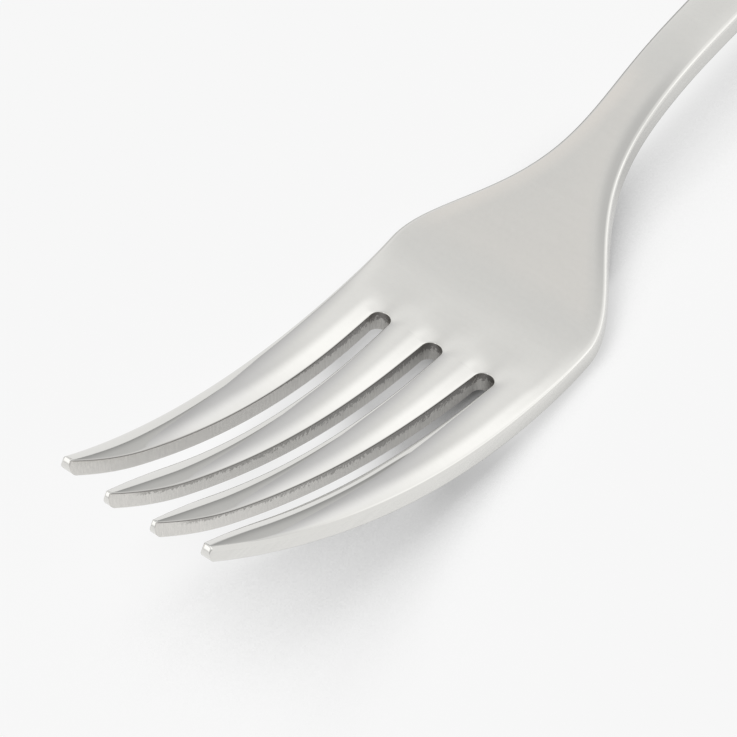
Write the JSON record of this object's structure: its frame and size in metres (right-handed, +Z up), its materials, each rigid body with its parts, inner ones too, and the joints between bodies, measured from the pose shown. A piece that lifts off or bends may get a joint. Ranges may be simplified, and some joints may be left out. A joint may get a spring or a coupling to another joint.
{
  "type": "dinner fork",
  "caption": "Polished steel dinner fork, forged in one piece, with curved tapering tines, a rounded head and a slim arched handle.",
  "frame": {"origin": "middle of the bounding box in plan, on the surface that the fork lies on", "axes": "+X along the fork from the handle to the tips, +Y across the head, +Z up, out of the hollow side"},
  "size_m": [0.2056, 0.026, 0.0284],
  "materials": {
    "steel": "polished"
  },
  "bodies": {
    "root": {"fork": "steel"}
  },
  "joints": []
}
